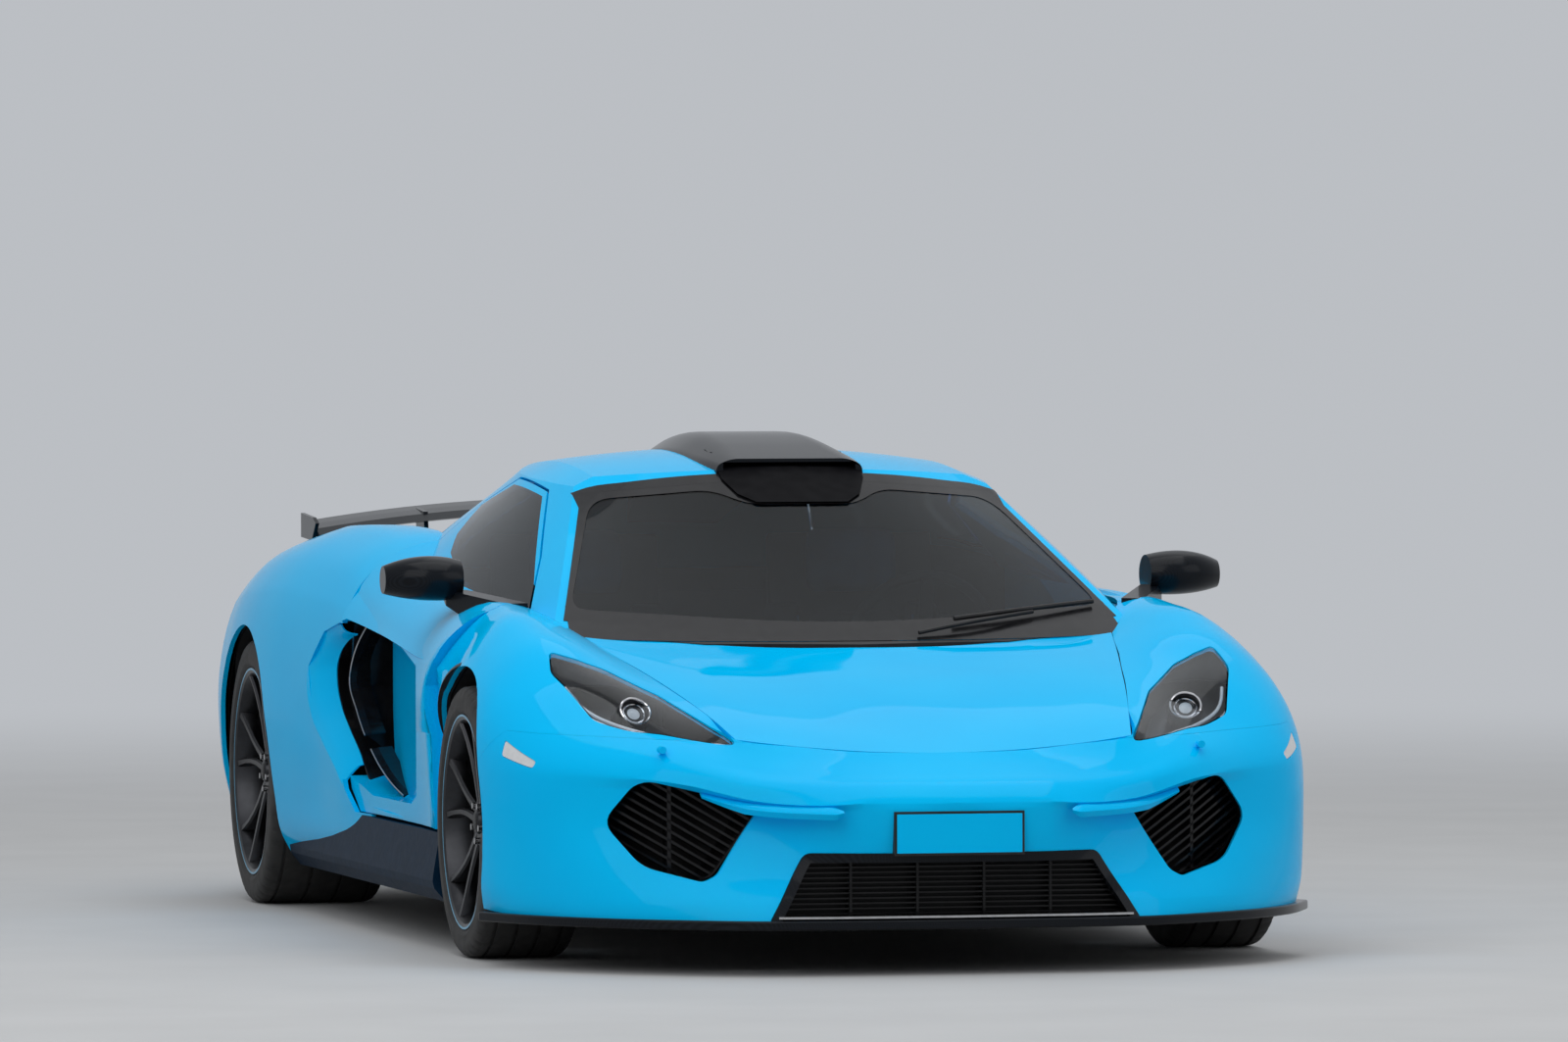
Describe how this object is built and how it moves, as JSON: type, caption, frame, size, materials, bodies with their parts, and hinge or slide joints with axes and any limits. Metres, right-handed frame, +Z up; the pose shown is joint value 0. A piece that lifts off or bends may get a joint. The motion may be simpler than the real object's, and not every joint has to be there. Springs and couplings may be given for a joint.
{
  "type": "mid-engined two-seat supercar",
  "caption": "Low mid-engined two-seat supercar with wide body kit, roof scoop, rear wing, swing-up doors, lids that open, and wheels that roll and steer.",
  "frame": {"origin": "on the ground under the middle of the car", "axes": "+Z up, the car faces -Y, its left side is +X"},
  "size_m": [2.1212, 4.51, 1.2473],
  "materials": {
    "paint": "gloss sky blue paint with clear coat",
    "gloss_black": "gloss black carbon weave under clear lacquer",
    "satin_black": "satin black moulded plastic",
    "structure": "bare and cast aluminium",
    "engine": "engine and gearbox as one block",
    "wheel": "satin black forged alloy with a pale blue rim line",
    "tyre": "black tyre rubber",
    "brake": "machined steel and painted caliper",
    "glass": "lightly tinted laminated glass",
    "lens": "clear lamp lens",
    "lamp": "dark lamp housing with a chrome projector ring",
    "red_lens": "red tail lamp lens",
    "leather": "black leather with blue piping",
    "chrome": "polished steel"
  },
  "bodies": {
    "body": {"arch_liners": "satin_black", "chassis": "structure", "cowl": "satin_black", "dashboard": "leather", "diffuser": "gloss_black", "engine_block": "engine", "exhausts": "chrome", "fixed_glass": "glass", "front_bumper": "paint", "front_suspension": "structure", "front_wings": "paint", "grilles": "satin_black", "headlamp_lenses": "lens", "headlamps": "lamp", "luggage_tub": "satin_black", "rear_bumper": "paint", "rear_quarters": "paint", "rear_suspension": "structure", "rear_wing": "gloss_black", "roof_frame": "paint", "roof_scoop": "gloss_black", "seats": "leather", "side_intakes": "gloss_black", "side_skirts": "gloss_black", "splitter": "gloss_black", "tail_lamps": "red_lens"},
    "door_left": {"door_left": "paint", "door_glass_left": "glass", "mirror_left": "gloss_black"},
    "door_right": {"door_right": "paint", "door_glass_right": "glass", "mirror_right": "gloss_black"},
    "front_lid": {"front_lid": "paint"},
    "engine_cover": {"engine_cover": "paint"},
    "knuckle_left": {"knuckle_left": "brake"},
    "knuckle_right": {"knuckle_right": "brake"},
    "steering_wheel": {"steering_wheel": "leather"},
    "wheel_front_left": {"rim_front_left": "wheel", "tyre_front_left": "tyre"},
    "wheel_front_right": {"rim_front_right": "wheel", "tyre_front_right": "tyre"},
    "wheel_rear_left": {"rim_rear_left": "wheel", "tyre_rear_left": "tyre"},
    "wheel_rear_right": {"rim_rear_right": "wheel", "tyre_rear_right": "tyre"}
  },
  "joints": [
    {"name": "door_left_swing", "type": "hinge", "parent": "body", "child": "door_left", "pos_m": [0.9, -0.955, 0.864], "axis": [0.766, 0, -0.6428], "range_deg": [0, 75]},
    {"name": "door_right_swing", "type": "hinge", "parent": "body", "child": "door_right", "pos_m": [-0.9, -0.955, 0.864], "axis": [0.766, 0, 0.6428], "range_deg": [0, 75]},
    {"name": "front_lid_lift", "type": "hinge", "parent": "body", "child": "front_lid", "pos_m": [0, -0.985, 0.812], "axis": [-1, 0, 0], "range_deg": [0, 60]},
    {"name": "engine_cover_lift", "type": "hinge", "parent": "body", "child": "engine_cover", "pos_m": [0, 0.945, 1.135], "axis": [1, 0, 0], "range_deg": [0, 55]},
    {"name": "steer_left", "type": "hinge", "parent": "body", "child": "knuckle_left", "pos_m": [0.83, -1.225, 0.326], "axis": [0, 0, 1], "range_deg": [-30, 30]},
    {"name": "steer_right", "type": "hinge", "parent": "body", "child": "knuckle_right", "pos_m": [-0.83, -1.225, 0.326], "axis": [0, 0, 1], "range_deg": [-30, 30]},
    {"name": "steering_wheel_turn", "type": "hinge", "parent": "body", "child": "steering_wheel", "pos_m": [0.36, -0.35, 0.72], "axis": [0, 0.9135, 0.4067], "range_deg": [-395, 395]},
    {"name": "spin_front_left", "type": "hinge", "parent": "knuckle_left", "child": "wheel_front_left", "pos_m": [0.86, -1.225, 0.326], "axis": [1, 0, 0], "continuous": true},
    {"name": "spin_front_right", "type": "hinge", "parent": "knuckle_right", "child": "wheel_front_right", "pos_m": [-0.86, -1.225, 0.326], "axis": [1, 0, 0], "continuous": true},
    {"name": "spin_rear_left", "type": "hinge", "parent": "body", "child": "wheel_rear_left", "pos_m": [0.86, 1.445, 0.346], "axis": [1, 0, 0], "continuous": true},
    {"name": "spin_rear_right", "type": "hinge", "parent": "body", "child": "wheel_rear_right", "pos_m": [-0.86, 1.445, 0.346], "axis": [1, 0, 0], "continuous": true}
  ],
  "couplings": [
    {"joint": "steer_right", "follows": "steer_left", "ratio": 1},
    {"joint": "steering_wheel_turn", "follows": "steer_left", "ratio": 13}
  ]
}
